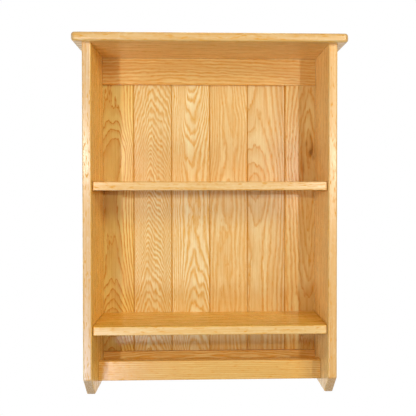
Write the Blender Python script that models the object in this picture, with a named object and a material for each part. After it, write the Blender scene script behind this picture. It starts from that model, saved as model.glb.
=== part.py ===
"""Oak wall shelf: an overhanging top, clipped sides, two housed shelves, three rails and a boarded back.

Sizes are in metres. +X is to the right, the front faces -Y, the wall is the plane Y = 0 and +Z is up.
The origin lies on the wall, in the middle of the flat back of the top rail.
"""

import math

import bmesh
import bpy
from mathutils import Matrix

# Gap left between two pieces that touch
CLEARANCE = 0.0003

# Sides: the front bottom corner is clipped off at 45 degrees
INNER_WIDTH = 0.508
SIDE_THICKNESS = 0.019
SIDE_DEPTH = 0.175
SIDE_HEIGHT = 0.764
SIDE_ARRIS = 0.003
FOOT_CLIP = 0.044

# Top: it overhangs the front and both ends, and its back is flush with the sides
TOP_THICKNESS = 0.019
TOP_END_OVERHANG = 0.020
TOP_FRONT_OVERHANG = 0.018
TOP_CORNER = 0.009
TOP_ARRIS = 0.0055

# Shelves: the drop is measured down from the underside of the top, the lift up from the foot of the sides
SHELF_THICKNESS = 0.019
SHELF_SETBACK = 0.010
SHELF_ARRIS = 0.0022
UPPER_SHELF_DROP = 0.295
LOWER_SHELF_LIFT = 0.1375

# Stopped housings that hold the shelf ends, and the length of shelf front that hides each one
HOUSING_DEPTH = 0.006
HOUSING_STOP = 0.012

# Back rails: the lift is from the foot of the sides to the lower edge
RAIL_THICKNESS = 0.019
RAIL_ARRIS = 0.0015
TOP_RAIL_HEIGHT = 0.062
BOTTOM_RAIL_HEIGHT = 0.062
BOTTOM_RAIL_LIFT = 0.002

# Front rail
FRONT_RAIL_THICKNESS = 0.019
FRONT_RAIL_HEIGHT = 0.044
FRONT_RAIL_LIFT = 0.0165
FRONT_RAIL_SETBACK = 0.085
FRONT_RAIL_ARRIS = 0.0015

# Back boards: tongue and groove with a V at each joint, lapped into a rabbet all round
BACK_BOARD_COUNT = 6
BACK_BOARD_PITCH = 0.091
BACK_THICKNESS = 0.0095
BACK_RECESS = 0.0005
BACK_LAP = 0.009
TONGUE_LENGTH = 0.006
TONGUE_THICKNESS = 0.003
VEE = 0.0017

# Dowels: the seat is the length that lies in the top, or in a side at a rail's end
DOWEL_DIAMETER = 0.008
DOWEL_LENGTH = 0.030
DOWEL_SEAT = 0.011
DOWEL_CHAMFER = 0.0008
TOP_DOWEL_COUNT = 3
TOP_DOWEL_INSET = 0.032
RAIL_DOWEL_SPACING = 0.028
FRONT_RAIL_DOWEL_SPACING = 0.022

# Keyhole hangers, let into the back of the top rail at the spacing of wall studs
HANGER_SPACING = 0.4064
HANGER_LENGTH = 0.038
HANGER_WIDTH = 0.015
HANGER_THICKNESS = 0.0016
HANGER_SINK = 0.0003
HANGER_POCKET = 0.009
KEYHOLE_DIAMETER = 0.009
KEYHOLE_SLOT = 0.005
KEYHOLE_TRAVEL = 0.010

# Countersunk hanger screws
SCREW_DIAMETER = 0.0028
SCREW_HEAD_DIAMETER = 0.0058
SCREW_LENGTH = 0.013
SCREW_POINT = 0.003
SCREW_INSET = 0.0045

# Facets of round work
ROUND_SIDES = 16
ARRIS_STEPS = 3

# Levels and planes that the pieces share
RAIL_LAND = TOP_RAIL_HEIGHT - BACK_LAP - CLEARANCE
UNDERSIDE = RAIL_LAND / 2 + CLEARANCE
FRONT = -SIDE_DEPTH
BACK_FACE = -(BACK_RECESS + BACK_THICKNESS)
RABBET_FLOOR = BACK_FACE - CLEARANCE
INNER_HALF = INNER_WIDTH / 2
OUTER_HALF = INNER_HALF + SIDE_THICKNESS
FOOT = UNDERSIDE - SIDE_HEIGHT
UPPER_SHELF_TOP = UNDERSIDE - UPPER_SHELF_DROP
LOWER_SHELF_TOP = FOOT + LOWER_SHELF_LIFT + SHELF_THICKNESS
SHELF_FRONT = FRONT + SHELF_SETBACK
HOUSING_FRONT = SHELF_FRONT + HOUSING_STOP
TOP_RAIL_BOTTOM = UNDERSIDE - CLEARANCE - TOP_RAIL_HEIGHT
BOTTOM_RAIL_BOTTOM = FOOT + BOTTOM_RAIL_LIFT
BOTTOM_RAIL_TOP = BOTTOM_RAIL_BOTTOM + BOTTOM_RAIL_HEIGHT
FRONT_RAIL_BOTTOM = FOOT + FRONT_RAIL_LIFT
FRONT_RAIL_TOP = FRONT_RAIL_BOTTOM + FRONT_RAIL_HEIGHT
FRONT_RAIL_FACE = FRONT + FRONT_RAIL_SETBACK
BOARD_TOP = TOP_RAIL_BOTTOM + BACK_LAP
BOARD_BOTTOM = BOTTOM_RAIL_TOP - BACK_LAP
HANGER_FACE = -HANGER_SINK
HANDS = (("left", -1), ("right", 1))


# Materials

def linear(hex_colour):
    """Linear red, green, blue and alpha of an sRGB colour such as #C08040."""
    channels = [int(hex_colour[start:start + 2], 16) / 255 for start in (1, 3, 5)]
    return [c / 12.92 if c <= 0.04045 else ((c + 0.055) / 1.055) ** 2.4 for c in channels] + [1.0]


def finish(name, hex_colour, roughness, metallic=0.0):
    """A plain shaded material."""
    material = bpy.data.materials.new(name)
    material.use_nodes = True
    shader = material.node_tree.nodes["Principled BSDF"]
    shader.inputs["Base Color"].default_value = linear(hex_colour)
    shader.inputs["Roughness"].default_value = roughness
    shader.inputs["Metallic"].default_value = metallic
    return material


# Shapes

def add_prism(bm, axis, outline, low, high):
    """A straight solid along X, Y or Z. The outline gives the other two coordinates, in X, Y, Z order."""
    place = "XYZ".index(axis)

    def ring(level):
        points = [list(point) for point in outline]
        for point in points:
            point.insert(place, level)
        return [bm.verts.new(point) for point in points]

    start, end = ring(low), ring(high)
    faces = [bm.faces.new(start), bm.faces.new(end)]
    for first in range(len(outline)):
        second = (first + 1) % len(outline)
        faces.append(bm.faces.new((start[first], start[second], end[second], end[first])))
    bmesh.ops.recalc_face_normals(bm, faces=faces)


def add_box(bm, low, high):
    """A box between two opposite corners."""
    outline = ((low[0], low[1]), (high[0], low[1]), (high[0], high[1]), (low[0], high[1]))
    add_prism(bm, "Z", outline, low[2], high[2])


def add_rod(bm, radius, length, matrix):
    """A round rod about the matrix's own Z axis, centred on its origin."""
    bmesh.ops.create_cone(
        bm, cap_ends=True, segments=ROUND_SIDES, radius1=radius, radius2=radius, depth=length, matrix=matrix
    )


def add_turned(bm, profile, matrix):
    """A round solid about the matrix's own Z axis. The profile runs from end to end as (radius, height)."""
    points = [bm.verts.new((radius, 0.0, height)) for radius, height in profile]
    lines = [bm.edges.new(pair) for pair in zip(points, points[1:])]
    bmesh.ops.spin(
        bm, geom=points + lines, cent=(0, 0, 0), axis=(0, 0, 1),
        angle=math.tau, steps=ROUND_SIDES, use_merge=True,
    )
    bmesh.ops.remove_doubles(bm, verts=bm.verts, dist=1e-6)
    bmesh.ops.recalc_face_normals(bm, faces=bm.faces)
    bmesh.ops.transform(bm, matrix=matrix, verts=bm.verts)


def arc(centre, radius, start, end, steps):
    """Points of an arc about a centre, from one angle in degrees to another."""
    angles = [math.radians(start + (end - start) * step / steps) for step in range(steps + 1)]
    return [(centre[0] + radius * math.cos(a), centre[1] + radius * math.sin(a)) for a in angles]


def round_ended(centre, width, length):
    """Outline of an upright strip with two round ends."""
    radius = width / 2
    reach = length / 2 - radius
    upper = arc((centre[0], centre[1] + reach), radius, 0, 180, ROUND_SIDES // 2)
    lower = arc((centre[0], centre[1] - reach), radius, 180, 360, ROUND_SIDES // 2)
    return upper + lower


def ease(bm, radius, chosen, steps=ARRIS_STEPS):
    """Rounds over the edges whose two ends the test accepts."""
    edges = [edge for edge in bm.edges if chosen(edge.verts[0].co, edge.verts[1].co)]
    bmesh.ops.bevel(
        bm, geom=edges, offset=radius, segments=steps, profile=0.5, affect="EDGES", clamp_overlap=True
    )


def near(value, level):
    """Whether a coordinate lies on a level."""
    return abs(value - level) < 1e-6


# Pieces and cuts

def piece(name, bm, material, root, location=(0, 0, 0), rotation=(0, 0, 0)):
    """The named object of one physical piece."""
    mesh = bpy.data.meshes.new(name)
    bm.to_mesh(mesh)
    bm.free()
    mesh.materials.append(material)
    mesh.shade_smooth()
    mesh.set_sharp_from_angle(angle=math.radians(30))
    made = bpy.data.objects.new(name, mesh)
    made.location = location
    made.rotation_euler = rotation
    made.parent = root
    bpy.context.scene.collection.objects.link(made)
    return made


def cut(target, name, bm, root):
    """Takes the shapes of bm out of a piece."""
    cutter = piece(f"{target.name}_{name}", bm, target.data.materials[0], root)
    cutter.hide_render = True
    cutter.display_type = "WIRE"
    modifier = target.modifiers.new(name, "BOOLEAN")
    modifier.operation = "DIFFERENCE"
    modifier.solver = "EXACT"
    modifier.object = cutter


# Dowels

def dowel_joints():
    """Each row of dowels by name: its axis and the centres of its dowels."""
    joints = {}
    overlap = DOWEL_SEAT - DOWEL_LENGTH / 2
    first, last = -TOP_DOWEL_INSET, FRONT + TOP_DOWEL_INSET
    depths = [first + (last - first) * step / (TOP_DOWEL_COUNT - 1) for step in range(TOP_DOWEL_COUNT)]
    back_depth = -RAIL_THICKNESS / 2
    front_depth = FRONT_RAIL_FACE + FRONT_RAIL_THICKNESS / 2
    rails = (
        ("top_rail_dowel", back_depth, 0.0, RAIL_DOWEL_SPACING),
        ("bottom_rail_dowel", back_depth, (BOARD_BOTTOM + BOTTOM_RAIL_BOTTOM) / 2, RAIL_DOWEL_SPACING),
        ("front_rail_dowel", front_depth, FRONT_RAIL_BOTTOM + FRONT_RAIL_HEIGHT / 2, FRONT_RAIL_DOWEL_SPACING),
    )
    for hand, sign in HANDS:
        middle = sign * (INNER_HALF + SIDE_THICKNESS / 2)
        joints[f"top_dowel_{hand}"] = ("Z", [(middle, depth, UNDERSIDE + overlap) for depth in depths])
        for name, depth, height, spacing in rails:
            heights = (height + spacing / 2, height - spacing / 2)
            centres = [(sign * (INNER_HALF + overlap), depth, level) for level in heights]
            joints[f"{name}_{hand}"] = ("X", centres)
    return joints


def dowel_turn(axis):
    """Rotation that lays a dowel's own Z axis along X or Z."""
    return (0.0, math.pi / 2 if axis == "X" else 0.0, 0.0)


def dowel_holes(joints, names):
    """The holes of the named rows of dowels, as solids to cut away."""
    bm = bmesh.new()
    for name in names:
        axis, centres = joints[name]
        for centre in centres:
            matrix = Matrix.Translation(centre) @ Matrix.Rotation(dowel_turn(axis)[1], 4, "Y")
            add_rod(bm, DOWEL_DIAMETER / 2 + CLEARANCE, DOWEL_LENGTH + 2 * CLEARANCE, matrix)
    return bm


def make_dowels(joints, material, root):
    """Plain dowels with chamfered ends, hidden in the joints."""
    for name, (axis, centres) in joints.items():
        for number, centre in enumerate(centres, start=1):
            bm = bmesh.new()
            add_rod(bm, DOWEL_DIAMETER / 2, DOWEL_LENGTH, Matrix())
            ease(bm, DOWEL_CHAMFER, lambda a, b: near(a.z, b.z), steps=1)
            piece(f"{name}_{number}", bm, material, root, centre, dowel_turn(axis))


# Top

def make_top(joints, material, root):
    """The top board: round front corners, and a round-over along the front and both ends."""
    half = OUTER_HALF + TOP_END_OVERHANG
    front = FRONT - TOP_FRONT_OVERHANG
    right = arc((half - TOP_CORNER, front + TOP_CORNER), TOP_CORNER, -90, 0, 2 * ARRIS_STEPS)
    left = arc((TOP_CORNER - half, front + TOP_CORNER), TOP_CORNER, 180, 270, 2 * ARRIS_STEPS)
    bm = bmesh.new()
    add_prism(bm, "Z", left + right + [(half, 0.0), (-half, 0.0)], UNDERSIDE, UNDERSIDE + TOP_THICKNESS)
    ease(bm, TOP_ARRIS, lambda a, b: near(a.z, b.z) and not (near(a.y, 0) and near(b.y, 0)))
    board = piece("top_board", bm, material, root)
    cut(board, "dowel_holes", dowel_holes(joints, ("top_dowel_left", "top_dowel_right")), root)


# Sides

def make_side(hand, sign, joints, material, root):
    """One side: clipped foot, two stopped housings, a stopped rabbet for the back, and dowel holes."""
    top = UNDERSIDE - CLEARANCE
    outline = ((0.0, top), (0.0, FOOT), (FRONT + FOOT_CLIP, FOOT), (FRONT, FOOT + FOOT_CLIP), (FRONT, top))
    inner, outer = sign * INNER_HALF, sign * OUTER_HALF
    bm = bmesh.new()
    add_prism(bm, "X", outline, min(inner, outer), max(inner, outer))

    def exposed(a, b):
        on_wall = near(a.y, 0) and near(b.y, 0)
        under_top = near(a.z, top) and near(b.z, top)
        return not on_wall and not under_top

    ease(bm, SIDE_ARRIS, exposed)
    board = piece(f"{hand}_side", bm, material, root)

    housings = bmesh.new()
    mouth, floor = inner - sign * HOUSING_DEPTH, inner + sign * HOUSING_DEPTH
    for shelf_top in (UPPER_SHELF_TOP, LOWER_SHELF_TOP):
        upper = shelf_top + CLEARANCE
        lower = shelf_top - SHELF_THICKNESS - CLEARANCE
        add_box(housings, (mouth, HOUSING_FRONT, lower), (floor, RABBET_FLOOR + CLEARANCE, upper))
    cut(board, "housings", housings, root)

    rabbet = bmesh.new()
    wall = inner + sign * (BACK_LAP + CLEARANCE)
    bottom, end = BOARD_BOTTOM - CLEARANCE, BOARD_TOP + CLEARANCE
    add_box(rabbet, (mouth, RABBET_FLOOR, bottom), (wall, SIDE_ARRIS, end))
    cut(board, "rabbet", rabbet, root)

    rows = [name for name in joints if name.endswith(hand)]
    cut(board, "dowel_holes", dowel_holes(joints, rows), root)


# Shelves

def make_shelf(name, shelf_top, material, root):
    """A shelf whose ends go into the housings, notched at the front to hide them."""
    visible = INNER_HALF - CLEARANCE
    housed = INNER_HALF + HOUSING_DEPTH - CLEARANCE
    shoulder = HOUSING_FRONT + CLEARANCE
    half = ((visible, SHELF_FRONT), (visible, shoulder), (housed, shoulder), (housed, RABBET_FLOOR))
    outline = list(half) + [(-x, y) for x, y in reversed(half)]
    bm = bmesh.new()
    add_prism(bm, "Z", outline, -SHELF_THICKNESS, 0.0)
    ease(bm, SHELF_ARRIS, lambda a, b: near(a.z, b.z) and near(a.y, SHELF_FRONT) and near(b.y, SHELF_FRONT))
    piece(name, bm, material, root, (0.0, 0.0, shelf_top))


# Rails

def make_rail(name, outline, arris, eased, holes, material, root):
    """A rail between the sides. The outline is its section, and eased picks the edges to round over."""
    half = INNER_HALF - CLEARANCE
    bm = bmesh.new()
    add_prism(bm, "X", outline, -half, half)
    ease(bm, arris, lambda a, b: not near(a.x, b.x) and eased(a))
    rail = piece(name, bm, material, root)
    cut(rail, "dowel_holes", holes, root)
    return rail


def make_rails(joints, material, root):
    """The two rabbeted back rails and the front rail. Gives back the top rail."""
    front = -RAIL_THICKNESS
    top = TOP_RAIL_BOTTOM + TOP_RAIL_HEIGHT
    lap = BOARD_TOP + CLEARANCE
    section = (
        (0.0, top), (front, top), (front, TOP_RAIL_BOTTOM),
        (RABBET_FLOOR, TOP_RAIL_BOTTOM), (RABBET_FLOOR, lap), (0.0, lap),
    )
    holes = dowel_holes(joints, ("top_rail_dowel_left", "top_rail_dowel_right"))

    def lower_front(point):
        return near(point.y, front) and near(point.z, TOP_RAIL_BOTTOM)

    top_rail = make_rail("top_rail", section, RAIL_ARRIS, lower_front, holes, material, root)

    lap = BOARD_BOTTOM - CLEARANCE
    section = (
        (0.0, lap), (RABBET_FLOOR, lap), (RABBET_FLOOR, BOTTOM_RAIL_TOP), (front, BOTTOM_RAIL_TOP),
        (front, BOTTOM_RAIL_BOTTOM), (0.0, BOTTOM_RAIL_BOTTOM),
    )
    holes = dowel_holes(joints, ("bottom_rail_dowel_left", "bottom_rail_dowel_right"))
    make_rail("bottom_back_rail", section, RAIL_ARRIS, lambda a: near(a.y, front), holes, material, root)

    rear = FRONT_RAIL_FACE + FRONT_RAIL_THICKNESS
    section = (
        (rear, FRONT_RAIL_TOP), (FRONT_RAIL_FACE, FRONT_RAIL_TOP),
        (FRONT_RAIL_FACE, FRONT_RAIL_BOTTOM), (rear, FRONT_RAIL_BOTTOM),
    )
    holes = dowel_holes(joints, ("front_rail_dowel_left", "front_rail_dowel_right"))
    make_rail("front_rail", section, FRONT_RAIL_ARRIS, lambda a: True, holes, material, root)
    return top_rail


# Back boards

def joint_edge(x, sign, tongued):
    """Half of a board's section at a joint on its sign side, from its front face to its back."""
    shoulder = x - sign * CLEARANCE / 2
    middle = BACK_FACE + BACK_THICKNESS / 2
    half = TONGUE_THICKNESS / 2 if tongued else TONGUE_THICKNESS / 2 + CLEARANCE
    reach = TONGUE_LENGTH if tongued else -(TONGUE_LENGTH + CLEARANCE)
    tip = shoulder + sign * reach
    return [
        (shoulder - sign * VEE, BACK_FACE), (shoulder, BACK_FACE + VEE),
        (shoulder, middle - half), (tip, middle - half), (tip, middle + half), (shoulder, middle + half),
        (shoulder, -BACK_RECESS),
    ]


def make_back_boards(material, root):
    """The boards from left to right. Each has a groove on its left and a tongue on its right."""
    reach = INNER_HALF + BACK_LAP
    joints = [BACK_BOARD_PITCH * (number - BACK_BOARD_COUNT / 2) for number in range(1, BACK_BOARD_COUNT)]
    for number in range(BACK_BOARD_COUNT):
        left = [(-reach, BACK_FACE), (-reach, -BACK_RECESS)]
        right = [(reach, BACK_FACE), (reach, -BACK_RECESS)]
        if number > 0:
            left = joint_edge(joints[number - 1], -1, tongued=False)
        if number < BACK_BOARD_COUNT - 1:
            right = joint_edge(joints[number], 1, tongued=True)
        bm = bmesh.new()
        add_prism(bm, "Z", right + left[::-1], BOARD_BOTTOM, BOARD_TOP)
        piece(f"back_board_{number + 1}", bm, material, root)


# Hangers

def keyhole(centre):
    """Outline of a keyhole: a round hole with a slot that runs up from it."""
    radius, half = KEYHOLE_DIAMETER / 2, KEYHOLE_SLOT / 2
    hole = (centre[0], centre[1] - KEYHOLE_TRAVEL / 2)
    slot_end = (centre[0], centre[1] + KEYHOLE_TRAVEL / 2)
    throat = math.degrees(math.asin(half / radius))
    around = arc(hole, radius, 90 + throat, 450 - throat, ROUND_SIDES)
    return around + arc(slot_end, half, 0, 180, ROUND_SIDES // 2)


def screw_places(x):
    """Centres of a hanger's two screw heads."""
    reach = HANGER_LENGTH / 2 - SCREW_INSET
    return [(x, HANGER_FACE, reach), (x, HANGER_FACE, -reach)]


def screw_profile(gap, length):
    """Section of a countersunk screw, or of its hole where there is a gap, from the point to the head."""
    head, shank = SCREW_HEAD_DIAMETER / 2 + gap, SCREW_DIAMETER / 2 + gap
    cone = head - shank
    return [(0.0, -length), (shank, SCREW_POINT - length), (shank, -cone), (head, 0.0), (0.0, 0.0)]


def make_hangers(top_rail, material, root):
    """Two keyhole plates and their screws, with their recesses, pockets and pilot holes in the top rail."""
    toward_wall = (-math.pi / 2, 0.0, 0.0)
    turn = Matrix.Rotation(toward_wall[0], 4, "X")
    recesses, pockets, pilots = bmesh.new(), bmesh.new(), bmesh.new()
    plate_floor = HANGER_FACE - HANGER_THICKNESS
    pocket_width = KEYHOLE_DIAMETER + 2 * CLEARANCE
    pocket_length = KEYHOLE_TRAVEL + pocket_width
    for hand, sign in HANDS:
        x = sign * HANGER_SPACING / 2
        plate_outline = round_ended((x, 0.0), HANGER_WIDTH, HANGER_LENGTH)
        recess_outline = round_ended((x, 0.0), HANGER_WIDTH + 2 * CLEARANCE, HANGER_LENGTH + 2 * CLEARANCE)
        pocket_outline = round_ended((x, 0.0), pocket_width, pocket_length)
        add_prism(recesses, "Y", recess_outline, plate_floor - CLEARANCE, HANGER_THICKNESS)
        add_prism(pockets, "Y", pocket_outline, plate_floor - HANGER_POCKET, plate_floor)

        bm = bmesh.new()
        add_prism(bm, "Y", plate_outline, plate_floor, HANGER_FACE)
        plate = piece(f"hanger_plate_{hand}", bm, material, root)
        opening = bmesh.new()
        below, above = plate_floor - HANGER_THICKNESS, HANGER_FACE + HANGER_THICKNESS
        add_prism(opening, "Y", keyhole((x, 0.0)), below, above)
        cut(plate, "keyhole", opening, root)

        for number, head in enumerate(screw_places(x), start=1):
            place = Matrix.Translation(head) @ turn
            add_rod(pilots, SCREW_DIAMETER / 2 + CLEARANCE, 2 * SCREW_LENGTH + 2 * CLEARANCE, place)
            hole = bmesh.new()
            add_turned(hole, screw_profile(CLEARANCE, SCREW_LENGTH + CLEARANCE), place)
            cut(plate, f"screw_hole_{number}", hole, root)
            screw = bmesh.new()
            add_turned(screw, screw_profile(0.0, SCREW_LENGTH), Matrix())
            piece(f"hanger_screw_{hand}_{number}", screw, material, root, head, toward_wall)
    cut(top_rail, "hanger_recesses", recesses, root)
    cut(top_rail, "hanger_pockets", pockets, root)
    cut(top_rail, "pilot_holes", pilots, root)


# Assembly

def main():
    """Clears the scene and builds the shelf under one empty."""
    for old in list(bpy.data.objects):
        bpy.data.objects.remove(old)
    root = bpy.data.objects.new("wall_shelf", None)
    bpy.context.scene.collection.objects.link(root)

    top_oak = finish("oak_top", "#E4B676", 0.35)
    side_oak = finish("oak_sides", "#E8BE80", 0.35)
    shelf_oak = finish("oak_shelves", "#E2B270", 0.35)
    rail_oak = finish("oak_rails", "#E0AE6C", 0.35)
    board_oak = finish("oak_back_boards", "#E6BA7A", 0.35)
    beech = finish("beech_dowels", "#D8B48C", 0.60)
    zinc = finish("zinc_plated_steel", "#B9BCC0", 0.35, 1.0)

    joints = dowel_joints()
    make_top(joints, top_oak, root)
    for hand, sign in HANDS:
        make_side(hand, sign, joints, side_oak, root)
    make_shelf("upper_shelf", UPPER_SHELF_TOP, shelf_oak, root)
    make_shelf("lower_shelf", LOWER_SHELF_TOP, shelf_oak, root)
    top_rail = make_rails(joints, rail_oak, root)
    make_back_boards(board_oak, root)
    make_dowels(joints, beech, root)
    make_hangers(top_rail, zinc, root)


main()
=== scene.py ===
"""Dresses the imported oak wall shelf: growth rings sawn through every board, satin lacquer,
pin and screw heads on the back, and the plain white studio it hangs in. Metres, +Z up, wall at Y = 0."""

import math

import bmesh
import bpy
import numpy as np
from mathutils import Matrix, Vector


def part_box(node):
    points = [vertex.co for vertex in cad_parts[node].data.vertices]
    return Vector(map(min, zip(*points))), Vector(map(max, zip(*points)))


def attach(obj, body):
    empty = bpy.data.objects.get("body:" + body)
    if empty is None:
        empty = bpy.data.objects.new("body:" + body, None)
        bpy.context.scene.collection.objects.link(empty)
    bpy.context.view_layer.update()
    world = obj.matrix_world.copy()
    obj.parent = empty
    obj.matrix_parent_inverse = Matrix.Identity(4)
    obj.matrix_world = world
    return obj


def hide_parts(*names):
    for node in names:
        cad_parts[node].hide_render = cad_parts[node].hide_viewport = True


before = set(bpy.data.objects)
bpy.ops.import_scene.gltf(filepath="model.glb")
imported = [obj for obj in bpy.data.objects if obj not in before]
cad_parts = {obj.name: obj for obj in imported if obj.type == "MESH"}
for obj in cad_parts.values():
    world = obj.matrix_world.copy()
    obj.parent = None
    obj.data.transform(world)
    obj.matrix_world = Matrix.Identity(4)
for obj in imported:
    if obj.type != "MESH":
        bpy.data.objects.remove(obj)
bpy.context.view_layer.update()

X, Y, Z = 0, 1, 2
# Millimetres in a metre
MM = 1000
# Length and width of the short strips that a board is divided into, so that its rings can bend
RUN = 0.005
STRIP = 0.003
# Points of a mesh that are nearer to each other than this are one point, and the finer gap of cuts and fixings
GAP = 1e-6
FINE_GAP = 1e-7
# How far two boards lie apart in the tree, across, through and along the grain, so that no two are alike
BOARD_SHIFT = (0.7, 0.3, 1.9)
# Panel pins: how far in from a board's edges and from a rail's edge, and the size of a head
PIN_INSET = 0.020
PIN_LAP = 0.00455
PIN_WIDTH = 0.0026
PIN_HEIGHT = 0.0004
# Hanger screws: the width of a slot of the cross recess, and the seed of the turns they were left at
RECESS_WIDTH = 0.0009
TURN_SEED = 3
# A head is made facing up, and is tipped over to face the wall
FACE_WALL = (-math.pi / 2, 0, 0)

# How each board was sawn. Along and across are the grain's directions. Ground is the board's own colour
# between the ring lines, and edge that of its narrow edges. Zigzag is how far the rings waver, in rings,
# lines how strongly they show, and line the most that a ring line spreads to each side, in millimetres.
# A plain board is given the heart of its tree: pitch is the width of a ring and dome the depth of the heart
# below the face, in millimetres, middle the line above the heart, as (place along, place across), and rise
# the rings passed on the way along it, as (place along, count)
FIGURES = {
    "back_board_1": dict(along=Z, across=X, ground="#DDAD55", zigzag=0.25, lines=1.75, line=2.4),
    "back_board_2": dict(along=Z, across=X, ground="#E6C17D", zigzag=0.80, lines=1.05, line=6.0),
    "back_board_3": dict(along=Z, across=X, ground="#EFCB89", zigzag=0.45, lines=1.05, line=7.0),
    "back_board_4": dict(along=Z, across=X, ground="#EAC079", zigzag=0.45, lines=0.68, line=7.0),
    "back_board_5": dict(along=Z, across=X, ground="#E1B670", zigzag=0.30, lines=0.90, line=4.5),
    "back_board_6": dict(along=Z, across=X, ground="#EDBD6A", zigzag=0.50, lines=0.95, line=4.0),
    "top_rail": dict(along=X, across=Z, ground="#EAB764", zigzag=0.60, lines=0.95, line=4.0),
    "top_board": dict(
        along=X, across=Y, ground="#EFC67A", edge="#F5C886", zigzag=0.30, lines=0.65, line=6.0,
        pitch=6.0, dome=24, middle=[(-0.30, -0.105), (0.30, -0.085)],
        rise=[(-0.30, 0), (0.0, 1.4), (0.30, 1.0)],
    ),
    "left_side": dict(
        along=Z, across=Y, ground="#FACC6E", edge="#F0C793", zigzag=0.25, lines=0.55, line=6.0,
        pitch=7.0, dome=26, middle=[(-0.74, -0.055), (0.03, -0.065)],
        rise=[(-0.74, 0), (-0.30, 1.2), (0.03, 0.6)],
    ),
    "right_side": dict(
        along=Z, across=Y, ground="#FED990", edge="#FBC780", zigzag=0.25, lines=0.55, line=6.0,
        pitch=6.5, dome=26, middle=[(-0.74, -0.060), (0.03, -0.050)],
        rise=[(-0.74, 0), (-0.40, -0.8), (0.03, 0.9)],
    ),
    "upper_shelf": dict(
        along=X, across=Y, ground="#F4C57F", edge="#F4C57F", zigzag=0.25, lines=0.70, line=6.0,
        pitch=5.5, dome=40, middle=[(-0.27, -0.060), (0.27, -0.080)],
        rise=[(-0.27, 0), (0.27, 4.0)],
    ),
    "lower_shelf": dict(
        along=X, across=Y, ground="#F4C65A", edge="#FDCF86", zigzag=0.25, lines=0.50, line=6.0,
        pitch=6.5, dome=30, middle=[(-0.27, -0.070), (0.27, -0.050)],
        rise=[(-0.27, 0), (0.05, 2.2), (0.27, 3.4)],
    ),
    "bottom_back_rail": dict(
        along=X, across=Z, ground="#F1BB69", zigzag=0.50, lines=0.95, line=4.0,
        pitch=5.0, dome=4, middle=[(-0.26, -0.690), (0.0, -0.684), (0.26, -0.692)],
        rise=[(-0.26, 2.4), (-0.12, 0.6), (-0.02, 1.6), (0.10, 0.4), (0.26, 2.2)],
    ),
    "front_rail": dict(
        along=X, across=Z, ground="#F2BC65", zigzag=0.20, lines=0.75, line=5.0,
        pitch=4.2, dome=20, middle=[(-0.26, -0.655), (0.26, -0.660)],
        rise=[(-0.26, 0), (0.05, 0.8), (0.26, 0.2)],
    ),
}


def chevron(ring, across, up):
    """A ring line that shows as a sharp arch, steeper on its left."""
    left_leg = [(-37, -122), (-25, -80), (-14, -42), (-7, -19)]
    right_leg = [(12, -21), (26, -36), (39, -60), (46, -88)]
    return ring, [(across + x, up + z) for x, z in (*left_leg, (0, 0), *right_leg)]


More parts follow.
